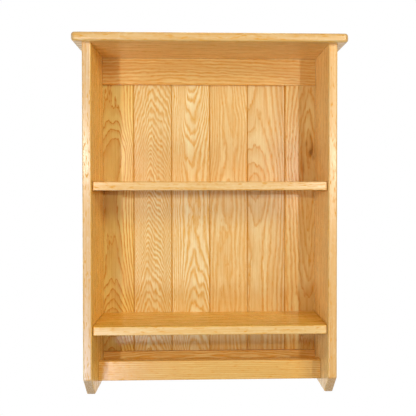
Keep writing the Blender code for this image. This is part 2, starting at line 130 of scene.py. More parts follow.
# The ring lines that show on the boards with a strong figure, drawn: the number of the ring, counted
# outwards from the heart, and points on its line, in millimetres along X and Z
RINGS = {
    "back_board_1": [
        (0, [(-246, -576), (-234, -570), (-224, -574)]),
        (1, [(-251, -572), (-241, -557), (-232, -549), (-225, -556), (-211, -577)]),
        (2, [(-255, -560), (-241, -535), (-233, -522), (-225, -532), (-213, -555), (-201, -577)]),
        (3, [(-255, -525), (-246, -512), (-236, -502), (-230, -509), (-225, -501), (-216, -517),
             (-207, -542), (-195, -577)]),
        (4, [(-255, -498), (-248, -445), (-247, -406), (-240, -414), (-232, -400), (-223, -412),
             (-219, -446), (-208, -490), (-190, -575)]),
        (5, [(-256, -257), (-252, -340), (-255, -420), (-255, -200), (-245, -181), (-233, -165),
             (-219, -167), (-213, -185), (-212, -207), (-217, -240), (-222, -290), (-219, -365),
             (-213, -400), (-209, -450), (-198, -520)]),
        (6, [(-255, -169), (-244, -151), (-234, -140), (-220, -143), (-212, -160), (-203, -190),
             (-201, -220), (-207, -290), (-206, -380), (-201, -450)]),
        (7, [(-256, -144), (-247, -123), (-241, -120), (-232, -129), (-224, -122), (-214, -133),
             (-209, -157), (-196, -220), (-200, -300), (-196, -440)]),
        (8, [(-256, -103), (-248, -57), (-240, -48), (-231, -90), (-224, -80), (-215, -97), (-208, -130),
             (-191, -220), (-193, -300), (-190, -440)]),
        (9, [(-204, -47), (-203, -97), (-196, -155), (-186, -220), (-187, -320)]),
        (10, [(-197, -47), (-197, -97), (-190, -165)]),
        (11, [(-190, -47), (-190, -110)]),
        (-1, [(-246, -600), (-233, -590), (-222, -600), (-205, -640)]),
        (-3, [(-248, -650), (-233, -637), (-220, -650)]),
    ],
    "back_board_2": [
        chevron(31, -141, -46), chevron(28, -141, -112), chevron(25, -142, -163), chevron(21, -144, -211),
        chevron(18, -146, -262), chevron(14, -147, -315), chevron(9, -150, -386), chevron(5, -151, -440),
        chevron(2, -150, -503), chevron(-1, -148, -572), chevron(-4, -147, -640),
    ],
    "back_board_3": [
        (2, [(-52, -40), (-40, -50), (-31, -38)]),
        (3, [(-53, -60), (-47, -69), (-39, -74), (-33, -62), (-27, -43)]),
        (4, [(-58, -80), (-50, -99), (-43, -112), (-38, -124), (-33, -107), (-27, -83), (-20, -62),
             (-17, -40)]),
        (5, [(-60, -115), (-53, -134), (-45, -150), (-37, -147), (-30, -141), (-24, -120), (-18, -88),
             (-12, -45)]),
        (6, [(-62, -140), (-54, -158), (-45, -170), (-38, -176), (-29, -160), (-22, -130), (-14, -95),
             (-8, -45)]),
        (7, [(-61, -195), (-53, -215), (-41, -224), (-33, -195), (-26, -170), (-17, -140), (-8, -90)]),
        (8, [(-64, -220), (-56, -245), (-30, -250), (-22, -200), (-13, -150), (-3, -80), (-35, -360),
             (-31, -396), (-25, -345), (-28, -300)]),
        (7, [(-60, -525), (-44, -460), (-37.5, -432), (-32, -462), (-15, -487), (-4, -527)]),
        (6, [(-60, -560), (-47.5, -502), (-38.7, -476), (-32.5, -497), (-23.7, -520), (-15, -512),
             (-5, -550)]),
        (5, [(-55, -565), (-48.7, -540), (-40, -522), (-30, -535), (-23.7, -545), (-18, -537), (-9, -562)]),
        (4, [(-45, -563), (-37, -556), (-25, -568), (-15, -575)]),
        (10, [(-70, -60), (-72, -200), (-72, -330), (-70, -450), (-72, -570), (-4, -330), (-4, -240)]),
        (13, [(-86, -60), (-86, -200), (-86, -330), (-86, -450), (-86, -570)]),
        (3, [(-48, -600), (-38, -590), (-26, -603), (-12, -625)]),
        (1, [(-48, -660), (-38, -648), (-26, -663)]),
    ],
    "back_board_4": [
        (3, [(28, -43), (30, -67), (33, -103), (33, -127), (32, -149), (35, -167), (40, -181), (41, -197),
             (39, -217), (34, -233), (29, -249), (22, -290), (15, -340), (10, -420), (8, -500)]),
        (3, [(60, -43), (62, -77), (68, -103), (71, -121), (70, -157), (68, -181), (63, -197), (60, -217),
             (58, -237), (60, -257), (66, -310), (60, -420), (62, -520)]),
        (2, [(48, -110), (51, -143), (54, -157), (58, -127), (59, -105)]),
        (2.35, [(52, -200)]),
        (1.4, [(53, -60), (42, -300)]),
        (2, [(15, -490), (20, -430), (23, -403), (28, -425), (33, -447), (41, -490)]),
        (2, [(36, -350), (45, -380), (53, -410), (54, -470)]),
        (1, [(24, -565), (31, -531), (36, -545), (43, -577)]),
        (4, [(23, -43), (24, -120), (23, -190), (20, -230), (12, -268), (4, -330)]),
        (5, [(17, -43), (18, -120), (17, -200), (8, -255)]),
        (6, [(12, -43), (13, -130), (10, -210), (4, -250)]),
        (7, [(6, -60), (6, -160)]),
        (4, [(67, -43), (74, -90), (79, -130), (77, -170), (74, -210), (71, -250), (76, -320), (72, -420),
             (74, -537)]),
        (5, [(74, -43), (81, -90), (86, -130), (84, -170), (80, -215), (80, -260), (85, -330), (82, -440)]),
        (6, [(81, -43), (88, -90)]),
        (0, [(22, -640), (31, -600), (40, -645)]),
        (3, [(6, -600), (62, -620)]),
        (4, [(74, -640)]),
    ],
    "back_board_5": [
        (0.6, [(112, -282)]),
        (1, [(97, -258), (104, -250), (113, -247), (121, -262), (124, -285), (119, -300), (110, -313),
             (100, -298)]),
        (2, [(95, -224), (106, -222), (114, -229), (127, -239), (133, -262), (136, -300), (127, -350),
             (119, -366), (113, -374), (106, -355), (97, -325)]),
        (3, [(96, -186), (103, -189), (111, -177), (119, -184), (131, -203), (139, -233), (144, -270),
             (143, -320), (134, -365), (129, -427), (128, -515), (128, -578), (97, -420), (96, -520)]),
        (2.6, [(112, -430), (112, -520)]),
        (4, [(100, -144), (106, -135), (111, -117), (115, -92), (119, -103), (130, -139), (140, -173),
             (150, -213), (156, -250), (157, -300), (150, -360), (146, -430), (141, -480), (140, -575)]),
        (5, [(97, -88), (103, -76), (108, -60), (112, -38), (134, -43), (138, -87), (145, -131),
             (156, -187), (163, -233), (167, -290), (164, -365), (160, -425), (153, -500), (152, -575)]),
        (6, [(150, -47), (154, -103), (162, -151), (167, -207), (173, -270), (173, -340), (170, -420),
             (164, -500), (163, -575)]),
        (7, [(162, -53), (168, -110), (173, -160), (177, -230), (179, -340), (177, -450), (173, -575)]),
        (8, [(172, -45), (176, -110), (180, -170)]),
        (3, [(128, -680), (97, -640)]),
        (4, [(140, -680)]),
        (5, [(152, -680)]),
        (6, [(163, -680)]),
        (7, [(173, -680)]),
    ],
    "back_board_6": [
        (2, [(236, -175), (243, -145), (248, -165)]),
        (3, [(222, -180), (226, -140), (231, -117), (240, -93), (246, -113), (250, -133), (253, -155)]),
        (4, [(215, -185), (219, -135), (226, -100), (233, -78), (241, -42), (246, -57), (252, -77),
             (256, -97)]),
        (5, [(205, -240), (208, -165), (213, -110), (220, -72), (228, -42)]),
        (6, [(197, -240), (199, -180), (203, -120), (209, -72), (215, -42)]),
        (7, [(190, -240), (191, -180), (194, -130), (199, -80), (204, -42)]),
        (8, [(184, -230), (185, -150), (189, -90), (193, -42)]),
        (4, [(222, -302), (226, -350), (231, -400), (236, -440), (242, -470), (246, -430), (247, -390)]),
        (3, [(230, -302), (235, -337), (242, -352), (243, -367), (241, -400), (245, -330)]),
        (5, [(214, -302), (219, -380), (226, -450), (233, -490), (241, -506), (250, -470)]),
        (6, [(207, -302), (211, -380), (216, -450), (222, -510), (236, -545), (250, -530)]),
        (7, [(199, -302), (203, -380), (207, -450), (211, -530), (218, -575)]),
        (8, [(191, -302), (194, -380), (197, -460), (199, -560)]),
        (8, [(204, -670)]),
        (9, [(196, -670)]),
    ],
    "top_rail": [
        (0, [(-255, -34), (-150, -34), (-60, -33), (40, -33), (150, -35)]),
        (1, [(-255, -28), (-150, -27), (-110, -21), (-90, -19), (-65, -23), (0, -25), (80, -27),
             (180, -30), (255, -33)]),
        (2, [(-255, -19), (-180, -17), (-100, -13), (-40, -13), (40, -16), (120, -20), (200, -25),
             (255, -28)]),
        (3, [(-255, -10), (-180, -8), (-100, -5), (-30, -6), (60, -9), (130, -13), (200, -17), (255, -20)]),
        (4, [(-255, -1), (-160, 2), (-90, 1), (-20, 0), (60, -3), (130, -7), (200, -10), (255, -13)]),
        (5, [(-255, 7), (-160, 9), (-90, 8), (-10, 7), (60, 4), (130, 0), (200, -3), (255, -6)]),
        (6, [(-255, 14), (-100, 15), (0, 14), (100, 10), (200, 5), (255, 2)]),
        (7, [(-255, 21), (-50, 22), (100, 18), (255, 11)]),
    ],
}

# Small dark flames and a pin knot with a browner patch below it, a painted shadow band along the edge of the
# right side's shadow on board 6, and a painted highlight down board 1: places along X and Z, half widths and
# half lengths in millimetres, and what they add to the tone
MARKS_AND_PAINTED_LIGHT = {
    "back_board_6": [
        (245, -196, 4.5, 8, -2.0), (251, -208, 3.0, 7, -1.3), (234, -174, 3.2, 9, -1.1),
        # The last one here and the first on the next line are the painted shadow band along the shadow's edge
        (244, -161, 2.6, 17, -1.0), (249, -182, 3.2, 12, -1.2), (227, -238, 2.4, 28, -0.9),
        (222, -232, 1.6, 20, -0.4), (238, -222, 12, 30, -0.3),
    ],
    # The last one here, the pale patch, is a painted highlight: a pale sheen of a lamp on the lacquer
    "back_board_1": [(-234, -146, 2.2, 3, -0.8), (-238, -62, 2.0, 10, -0.5), (-196, -170, 13, 110, 0.9)],
}


# Small tools

def linear(code, alpha=1.0):
    """A colour written as sRGB hex, in the linear light that shaders work in."""
    shares = [int(code[i:i + 2], 16) / 255 for i in (1, 3, 5)]
    return (*[s / 12.92 if s <= 0.04045 else ((s + 0.055) / 1.055) ** 2.4 for s in shares], alpha)


def add(tree, kind, links=None, **settings):
    """Adds a node with its settings, and links or sets its inputs. A node given as a value stands for its
    first output."""
    made = tree.nodes.new(kind)
    for name, value in settings.items():
        setattr(made, name, value)
    for key, value in (links or {}).items():
        if isinstance(key, int):
            socket = made.inputs[key]
        else:
            socket = next(s for s in made.inputs if s.enabled and s.name == key)
        if isinstance(value, bpy.types.Node):
            value = next(s for s in value.outputs if s.enabled)
        if isinstance(value, bpy.types.NodeSocket):
            tree.links.new(value, socket)
        else:
            socket.default_value = value
    return made


def new_material(name):
    """An empty node material, and its tree."""
    material = bpy.data.materials.new(name)
    material.use_nodes = True
    material.node_tree.nodes.clear()
    return material, material.node_tree


def new_tree(name, result, **inputs):
    """An empty tree of Geometry Nodes, the identifiers of its named inputs, and what they give."""
    tree = bpy.data.node_groups.new(name, "GeometryNodeTree")
    sockets = {}
    for label, kind in inputs.items():
        socket = tree.interface.new_socket(label, in_out="INPUT", socket_type="NodeSocket" + kind)
        sockets[label] = socket.identifier
    tree.interface.new_socket(result, in_out="OUTPUT", socket_type="NodeSocketGeometry")
    return tree, sockets, add(tree, "NodeGroupInput").outputs


def end_tree(tree, result, shape, finish):
    """Ends a tree in plain mesh with its finish."""
    shape = add(tree, "GeometryNodeRealizeInstances", {"Geometry": shape})
    shape = add(tree, "GeometryNodeSetMaterial", {"Geometry": shape, "Material": finish})
    add(tree, "NodeGroupOutput", {result: shape})


def new_object(name, mesh):
    """A new object at the origin, in the scene."""
    made = bpy.data.objects.new(name, mesh)
    bpy.context.scene.collection.objects.link(made)
    return made


def settle(piece):
    """Turns what the piece's modifiers make of it into its own plain mesh."""
    seen = piece.evaluated_get(bpy.context.evaluated_depsgraph_get())
    mesh = bpy.data.meshes.new_from_object(seen)
    mesh.name = piece.name
    piece.modifiers.clear()
    old = piece.data
    piece.data = mesh
    bpy.data.meshes.remove(old)


def close_up(piece, gap):
    """Merges the points of a piece that lie in one place, and turns all its faces outwards."""
    shell = bmesh.new()
    shell.from_mesh(piece.data)
    bmesh.ops.remove_doubles(shell, verts=shell.verts, dist=gap)
    bmesh.ops.recalc_face_normals(shell, faces=shell.faces)
    shell.to_mesh(piece.data)
    shell.free()


def dress(thing, material):
    """Gives a mesh one material in place of those it had."""
    thing.data.materials.clear()
    thing.data.materials.append(material)


# Materials

def make_oak():
    """Oak, planed and sanded, under sprayed satin lacquer. To the eye it is straw coloured, with a golden line
    and a creamy band in each growth ring, short dark pores along the grain and a clear sheen at a low angle."""
    material, tree = new_material("oak_satin_lacquer")
    smooth = dict(interpolation_type="SMOOTHSTEP")
    falling = {"To Min": 1.0, "To Max": 0.0}
    # How far the noise moves a ring, in rings
    waver_rings = 1.5
    ragged_rings = 0.45
    # Tone runs from deep gold at -1 to cream at 1: that of plain wood, and what each thing adds to it
    plain_tone = 0.35
    line_tone = -1.15
    band_tone = 0.75
    pore_tone = -0.80
    ray_tone = 0.30
    streak_tone = 1.6
    mottle_tone = 0.8
    deepest, palest = -1.4, 2.0
    # What a tone of 1 adds to the red, green and blue of the ground, as shares of them
    tone_colour = (0.09, 0.27, 0.66)
    end_grain_colour, end_grain_share = linear("#C79A5C"), 0.35
    grain, growth, figure, face, ground = [
        add(tree, "ShaderNodeAttribute", attribute_name=name).outputs["Vector"]
        for name in ("grain", "growth", "figure", "face", "ground")
    ]
    spread, mark = [
        add(tree, "ShaderNodeAttribute", attribute_name=name).outputs["Fac"] for name in ("spread", "mark")
    ]
    # Sizes across, through and along the grain in millimetres, and finer layers. Pores are 0.3 mm wide in the
    # wood, and are drawn much wider so that they show at this distance
    sizes = {
        "wander": (45, 45, 240, 2),
        "waver": (8, 8, 28, 1),
        "ragged": (4.0, 4.0, 26, 2),
        "mottle": (24, 24, 110, 2),
        "streak": (3.0, 3.0, 120, 3),
        "pore": (2.2, 2.2, 13.0, 0),
        "ray": (1.1, 7.0, 9.0, 0),
    }
    noise = {}
    for name, (across, through, along, layers) in sizes.items():
        scale = (1 / across, 1 / through, 1 / along)
        place = add(tree, "ShaderNodeVectorMath", {0: grain, 1: scale}, operation="MULTIPLY")
        level = add(tree, "ShaderNodeTexNoise", {"Vector": place, "Scale": 1.0, "Detail": layers})
        noise[name] = add(tree, "ShaderNodeMath", {0: level, 1: 0.5}, operation="SUBTRACT")
    zigzag, width, wander = add(tree, "ShaderNodeSeparateXYZ", {0: figure}).outputs
    cut, arris, lines = add(tree, "ShaderNodeSeparateXYZ", {0: face}).outputs
    # Growth rings: the distance from the heart of the tree, in rings, and the waver of the grain
    flat = add(tree, "ShaderNodeVectorMath", {0: growth, 1: (1, 1, 0)}, operation="MULTIPLY")
    radius = add(tree, "ShaderNodeVectorMath", {0: flat}, operation="LENGTH")
    rise = add(tree, "ShaderNodeSeparateXYZ", {0: growth}).outputs["Z"]
    rings = add(tree, "ShaderNodeMath", {0: radius, 1: rise}, operation="ADD")
    waver = add(tree, "ShaderNodeMath", {0: noise["waver"], 1: waver_rings}, operation="MULTIPLY")
    for part, strength in ((waver, zigzag), (noise["wander"], wander), (noise["ragged"], ragged_rings)):
        rings = add(tree, "ShaderNodeMath", {0: part, 1: strength, 2: rings}, operation="MULTIPLY_ADD")
    share = add(tree, "ShaderNodeMath", {0: rings}, operation="FRACT")
    year = add(tree, "ShaderNodeMath", {0: rings}, operation="FLOOR")
    luck = add(tree, "ShaderNodeTexWhiteNoise", {"W": year}, noise_dimensions="1D").outputs["Value"]
    # Millimetres past the ring line and still to go to the next, for a line of even width and a band beside it
    past = add(tree, "ShaderNodeMath", {0: share, 1: width}, operation="MULTIPLY")
    left = add(tree, "ShaderNodeMath", {0: width, 1: past}, operation="SUBTRACT")
    half = add(tree, "ShaderNodeMath", {0: width, 1: 0.5}, operation="MULTIPLY")
    line = add(tree, "ShaderNodeMath", {0: half, 1: spread}, operation="MINIMUM")
    outer = add(tree, "ShaderNodeMapRange", {"Value": past, "From Max": line, **falling}, **smooth)
    inner = add(tree, "ShaderNodeMapRange", {"Value": left, "From Max": line, **falling}, **smooth)
    dark = add(tree, "ShaderNodeMath", {0: outer, 1: inner}, operation="MAXIMUM")
    begun = add(tree, "ShaderNodeMapRange", {"Value": past, "From Max": line}, **smooth)
    late = {"Value": share, "From Min": 0.40, "From Max": 0.90, **falling}
    ended = add(tree, "ShaderNodeMapRange", late, **smooth)
    pale = add(tree, "ShaderNodeMath", {0: begun, 1: ended}, operation="MULTIPLY")
    # Pores gather at the start of each ring, and show most on the narrow edges, where the rings are faint.
    # Rays are short pale flecks across the rings
    pore = {"Value": noise["pore"], "From Min": 0.11, "From Max": 0.22}
    pore = add(tree, "ShaderNodeMapRange", pore, **smooth)
    crowd = add(tree, "ShaderNodeMapRange", {"Value": dark, "To Min": 0.4, "To Max": 1.0})
    faint = {"Value": lines, "From Min": 0.25, "From Max": 0.45, "To Min": 1.6, "To Max": 1.0}
    faint = add(tree, "ShaderNodeMapRange", faint)
    crowd = add(tree, "ShaderNodeMath", {0: crowd, 1: faint}, operation="MULTIPLY")
    pore = add(tree, "ShaderNodeMath", {0: pore, 1: crowd}, operation="MULTIPLY")
    ray = {"Value": noise["ray"], "From Min": 0.12, "From Max": 0.22}
    ray = add(tree, "ShaderNodeMapRange", ray, **smooth)
    # The rings' tone. Narrow rings run together and show less, and no two years are alike
    ring_tone = add(tree, "ShaderNodeMath", {0: dark, 1: line_tone, 2: plain_tone}, operation="MULTIPLY_ADD")
    ring_tone = add(tree, "ShaderNodeMath", {0: pale, 1: band_tone, 2: ring_tone}, operation="MULTIPLY_ADD")
    lucky = add(tree, "ShaderNodeMapRange", {"Value": luck, "To Min": 0.65, "To Max": 1.15})
    wide = {"Value": width, "From Min": 1.5, "From Max": 4.5, "To Min": 0.45, "To Max": 1.0}
    wide = add(tree, "ShaderNodeMapRange", wide)
    fade = {"Value": noise["mottle"], "From Min": -0.2, "From Max": 0.2, "To Min": 0.65, "To Max": 1.35}
    fade = add(tree, "ShaderNodeMapRange", fade)
    shown = lucky
    for part in (wide, lines, fade):
        shown = add(tree, "ShaderNodeMath", {0: shown, 1: part}, operation="MULTIPLY")
    tone = add(tree, "ShaderNodeMath", {0: ring_tone, 1: shown}, operation="MULTIPLY")
    # The marks' tone goes in last: flames and a pin knot, a painted shadow band and a painted highlight
    for part, strength in (
        (pore, pore_tone), (ray, ray_tone), (noise["streak"], streak_tone), (noise["mottle"], mottle_tone),
        (arris, 1.0), (mark, 1.0),
    ):
        tone = add(tree, "ShaderNodeMath", {0: part, 1: strength, 2: tone}, operation="MULTIPLY_ADD")
    tone = add(tree, "ShaderNodeClamp", {"Value": tone, "Min": deepest, "Max": palest})
    change = add(tree, "ShaderNodeVectorMath", {0: tone_colour, "Scale": tone}, operation="SCALE")
    change = add(tree, "ShaderNodeVectorMath", {0: change, 1: (1, 1, 1)}, operation="ADD")
    colour = add(tree, "ShaderNodeVectorMath", {0: ground, 1: change}, operation="MULTIPLY")
    # A knot and its flames are brown all through, and so is the painted shadow band on board 6
    knot_and_painted_shade = {"Value": mark, "From Min": -1.8, "From Max": -0.3, "To Min": 0.5, "To Max": 1.0}
    knot_and_painted_shade = add(tree, "ShaderNodeMapRange", knot_and_painted_shade)
    colour = add(tree, "ShaderNodeVectorMath", {0: colour, "Scale": knot_and_painted_shade}, operation="SCALE")
    cut_share = add(tree, "ShaderNodeMath", {0: cut, 1: end_grain_share}, operation="MULTIPLY")
    colour = {"Factor": cut_share, "A": colour, "B": end_grain_colour}
    colour = add(tree, "ShaderNodeMix", colour, data_type="RGBA")
    # Sheen and touch: the lacquer sinks a little into the pores and the ring lines
    rough = {"Value": noise["streak"], "From Min": -0.5, "From Max": 0.5, "To Min": 0.22, "To Max": 0.33}
    rough = add(tree, "ShaderNodeMapRange", rough)
    rough = add(tree, "ShaderNodeMath", {0: pore, 1: 0.18, 2: rough}, operation="MULTIPLY_ADD")
    height = noise["streak"]
    for part, sink in ((pore, -0.7), (dark, -0.4)):
        height = add(tree, "ShaderNodeMath", {0: part, 1: sink, 2: height}, operation="MULTIPLY_ADD")
    bump = add(tree, "ShaderNodeBump", {"Height": height, "Strength": 0.30, "Distance": 0.0003})
    surface = {"Base Color": colour, "Roughness": rough, "Normal": bump, "IOR": 1.50}
    surface = add(tree, "ShaderNodeBsdfPrincipled", surface)
    add(tree, "ShaderNodeOutputMaterial", {"Surface": surface})
    return material


def make_beech():
    """Beech, turned into dowels: pinkish cream with fine brown ray flecks."""
    material, tree = new_material("beech_turned")
    fleck_mm = 0.714
    cream, brown = linear("#DDB98C"), linear("#A97646")
    place = add(tree, "ShaderNodeTexCoord").outputs["Object"]
    fleck = add(tree, "ShaderNodeTexNoise", {"Vector": place, "Scale": MM / fleck_mm, "Detail": 1})
    fleck = add(tree, "ShaderNodeMapRange", {"Value": fleck, "From Min": 0.58, "From Max": 0.70})
    colour = add(tree, "ShaderNodeMix", {"Factor": fleck, "A": cream, "B": brown}, data_type="RGBA")
    rough = add(tree, "ShaderNodeMapRange", {"Value": fleck, "To Min": 0.55, "To Max": 0.68})
    bump = add(tree, "ShaderNodeBump", {"Height": fleck, "Strength": 0.2, "Distance": 0.0001})
    surface = {"Base Color": colour, "Roughness": rough, "Normal": bump, "IOR": 1.5}
    surface = add(tree, "ShaderNodeBsdfPrincipled", surface)
    add(tree, "ShaderNodeOutputMaterial", {"Surface": surface})
    return material


def make_zinc():
    """Steel, stamped and zinc plated: cool bright grey with a faint yellow and blue bloom and drawn scratches."""
    material, tree = new_material("steel_zinc_plated")
    bloom_mm = 4.545
    scratch_mm = (0.303, 0.303, 6.25)
    blue, yellow = linear("#C7CBCF"), linear("#D0CCBE")
    place = add(tree, "ShaderNodeTexCoord").outputs["Object"]
    bloom = add(tree, "ShaderNodeTexNoise", {"Vector": place, "Scale": MM / bloom_mm, "Detail": 2})
    bloom = add(tree, "ShaderNodeMapRange", {"Value": bloom, "From Min": 0.35, "From Max": 0.65})
    colour = add(tree, "ShaderNodeMix", {"Factor": bloom, "A": blue, "B": yellow}, data_type="RGBA")
    scale = [MM / size for size in scratch_mm]
    drawn = add(tree, "ShaderNodeVectorMath", {0: place, 1: scale}, operation="MULTIPLY")
    scratch = add(tree, "ShaderNodeTexNoise", {"Vector": drawn, "Scale": 1.0, "Detail": 1})
    rough = {"Value": scratch, "From Min": 0.3, "From Max": 0.7, "To Min": 0.24, "To Max": 0.42}
    rough = add(tree, "ShaderNodeMapRange", rough)
    bump = add(tree, "ShaderNodeBump", {"Height": scratch, "Strength": 0.15, "Distance": 0.00005})
    surface = {"Base Color": colour, "Roughness": rough, "Normal": bump, "Metallic": 1.0}
    surface = add(tree, "ShaderNodeBsdfPrincipled", surface)
    add(tree, "ShaderNodeOutputMaterial", {"Surface": surface})
    return material


def white_to_eye(tree):
    """One where the background is seen straight, in a reflection or through glass, and nought where it would
    light the shelf."""
    seen = add(tree, "ShaderNodeLightPath").outputs
    white = seen["Is Camera Ray"]
    for ray in ("Is Glossy Ray", "Is Transmission Ray"):
        white = add(tree, "ShaderNodeMath", {0: white, 1: seen[ray]}, operation="MAXIMUM")
    return white


# Oak pieces

def eased(points, places):
    """A smooth run through hand-set points: the mean of the straight run over a short reach each side."""
    reach, tries = 0.014, 7
    where, what = zip(*points)
    return np.mean([np.interp(places + r, where, what) for r in np.linspace(-reach, reach, tries)], axis=0)


def ring_sheet(lines, places):
    """The ring count at places on a face: the smoothest sheet through the points of the drawn lines, which
    may miss a point a little rather than buckle."""
    slack = 0.04
    knots = np.array([spot for _, spots in lines for spot in spots])
    counts = np.array([ring for ring, spots in lines for _ in spots], float)

    def bend(a, b):
        gap = ((a[:, None] - b[None]) ** 2).sum(2)
        return gap * np.log(gap + 1e-9)

    size = len(knots)
    sums = np.zeros((size + 3, size + 3))
    sums[:size, :size] = bend(knots, knots) + slack * np.eye(size)
    sums[:size, size:] = np.c_[np.ones(size), knots]
    sums[size:, :size] = sums[:size, size:].T
    weights = np.linalg.solve(sums, np.r_[counts, 0, 0, 0])
    return bend(places, knots) @ weights[:size] + np.c_[np.ones(len(places)), places] @ weights[size:]


def drawn_rings(name, spots, depth):
    """Growth, ring width and wander at the spots of a board whose ring lines are drawn."""
    across, along = FIGURES[name]["across"], FIGURES[name]["along"]
    # Lengths along the grain count less than those across it, because rings run on along it
    squeeze = np.array([0.1, 0.1 / 3.5])
    # Steps across and along for the slope of the sheet, and the widest ring, in millimetres
    steps, widest = ((2, 0), (0, 4)), 40
    rings_through = 120
    order = (0, 1) if across == X else (1, 0)
    lines = []
    for ring, points in RINGS[name]:
        lines.append((ring, [np.array([point[i] for i in order]) * squeeze for point in points]))
    places = np.stack([spots[:, across], spots[:, along]], 1) * MM
    count = ring_sheet(lines, places * squeeze)
    slope = [(ring_sheet(lines, (places + step) * squeeze) - count) / max(step) for step in steps]
    width = 1 / np.maximum(np.hypot(*slope), 1 / widest)
    growth = np.stack([0 * count, 0 * count, count + depth * rings_through], 1)
    return growth, width, 0 * count


def tree_rings(name, spots, depth):
    """Growth, ring width and wander at the spots of a plain board, from the heart of its tree."""
    plan = FIGURES[name]
    wander = 1.3
    pitch, places = plan["pitch"], spots[:, plan["along"]]
    aside = (spots[:, plan["across"]] - eased(plan["middle"], places)) * MM / pitch
    growth = np.stack([aside, (depth * MM + plan["dome"]) / pitch, eased(plan["rise"], places)], 1)
    return growth, np.full(len(spots), pitch), np.full(len(spots), wander)


def note(mesh, where, **attributes):
    """Writes numbers or triples on the points or the faces of a mesh, as attributes that the oak reads."""
    for title, values in attributes.items():
        kind, field = ("FLOAT_VECTOR", "vector") if values.ndim == 2 else ("FLOAT", "value")
        made = mesh.attributes.new(title, kind, where)
        made.data.foreach_set(field, values.astype(np.float32).ravel())


def saw(piece, name, seed):
    """Gives the piece the grain of its own place in the tree."""
    plan = FIGURES[name]
    along, across = plan["along"], plan["across"]
    through = X + Y + Z - along - across
    mesh = piece.data
    spots = np.zeros(len(mesh.vertices) * 3)
    mesh.vertices.foreach_get("co", spots)
    spots = spots.reshape(-1, 3)
    depth = spots[:, through] - spots[:, through].min()
    placed = (spots[:, across], depth, spots[:, along])
    grain = np.stack([place + shift * seed for place, shift in zip(placed, BOARD_SHIFT)], 1) * MM
    rings = drawn_rings if name in RINGS else tree_rings
    growth, width, wander = rings(name, spots, depth)
    figure = np.stack([np.full(len(spots), plan["zigzag"]), width, wander], 1)
    # Marks add to the tone round their places: flames and a pin knot, a painted shadow band and a painted
    # highlight
    mark = np.zeros(len(spots))
    for x, z, half_width, half_length, tone in MARKS_AND_PAINTED_LIGHT.get(name, []):
        aside = (spots[:, X] * MM - x) / half_width
        above = (spots[:, Z] * MM - z) / half_length
        mark += tone * np.exp(-aside ** 2 - above ** 2)
    note(mesh, "POINT", grain=grain, growth=growth, figure=figure, mark=mark)

    # A face is told by how squarely it faces along an axis
    square, end_on, broad = 0.985, 0.5, 0.7
    edge_share = 0.3
    normals = np.zeros(len(mesh.polygons) * 3)
    mesh.polygons.foreach_get("normal", normals)
    normals = np.abs(normals.reshape(-1, 3))
    # The eased arrises are drawn a little deeper in tone, and those of the back boards, vees and all, much deeper
    arris_tone = -0.8 if name.startswith("back_board") else -0.25
    arris = ((normals.max(1) < square) & (normals[:, along] < end_on)) * arris_tone
    # The narrow edges are cut across the rings, which are too close together there to show as bands
    edges = (normals[:, through] < broad) & (name not in RINGS)
    lines = plan["lines"] * np.where(edges, edge_share, 1.0)
    face = np.stack([normals[:, along], arris, lines], 1)
    face_colour = linear(plan["ground"])[:3]
    edge_colour = linear(plan.get("edge", plan["ground"]))[:3]
    ground = np.where(edges[:, None], edge_colour, face_colour)
    note(mesh, "FACE", face=face, ground=ground, spread=np.full(len(normals), plan["line"]))


def whole_faces(name):
    """A merged copy of a CAD node's solid with its flat faces made whole."""
    flat_angle = math.radians(0.4)
    solid = bmesh.new()
    solid.from_mesh(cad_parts[name].data)
    bmesh.ops.remove_doubles(solid, verts=solid.verts, dist=GAP)
    bmesh.ops.dissolve_limit(solid, angle_limit=flat_angle, verts=solid.verts, edges=solid.edges)
    return solid


def soften(piece):
    """Rounds the shading over the eased arrises and leaves the flat faces flat."""
    arris_angle = math.radians(40)
    piece.data.shade_smooth()
    piece.data.set_sharp_from_angle(angle=arris_angle)
    piece.modifiers.new("even_light", "WEIGHTED_NORMAL").keep_sharp = True
    settle(piece)


def make_oak_piece(name, oak, seed):
    """A board of the case, from its CAD solid, divided into short runs along its grain, and into strips too
    where its rings are drawn."""
    solid = whole_faces(name)
    low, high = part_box(name)
    plan = FIGURES[name]
    cuts = [(plan["along"], RUN)]
    if name in RINGS:
        cuts.append((plan["across"], STRIP))
    for axis, step in cuts:
        direction = Vector([1.0 if i == axis else 0.0 for i in range(3)])
        for place in np.arange(low[axis] + step, high[axis], step):
            parts = solid.verts[:] + solid.edges[:] + solid.faces[:]
            middle = direction * float(place)
            bmesh.ops.bisect_plane(solid, geom=parts, dist=FINE_GAP, plane_co=middle, plane_no=direction)
    mesh = bpy.data.meshes.new("oak_" + name)
    solid.to_mesh(mesh)
    solid.free()
    finish_oak(new_object("oak_" + name, mesh), name, oak, seed)


def finish_oak(piece, name, oak, seed):
    """Grain, soft arrises and lacquer for an oak piece, which then stands for its CAD node."""
    dress(piece, oak)
    soften(piece)
    saw(piece, name, seed)
    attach(piece, "root")
    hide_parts(name)


def moulding_tree():
    """Nodes that run a moulded outline up a length, in short runs, as a spindle moulder does."""
    tree, sockets, given = new_tree(
        "moulded_length", "Board", Outline="Geometry", Length="Float", Run="Float", Finish="Material",
    )
    outline = add(tree, "GeometryNodeMeshToCurve", {"Mesh": given["Outline"]})
    end = add(tree, "ShaderNodeCombineXYZ", {"Z": given["Length"]})
    line = add(tree, "GeometryNodeCurvePrimitiveLine", {"End": end})
    runs = add(tree, "GeometryNodeResampleCurve", {"Curve": line, "Length": given["Run"]}, mode="LENGTH")
    sweep = {"Curve": runs, "Profile Curve": outline, "Fill Caps": True}
    board = add(tree, "GeometryNodeCurveToMesh", sweep)
    end_tree(tree, "Board", board, given["Finish"])
    return tree, sockets


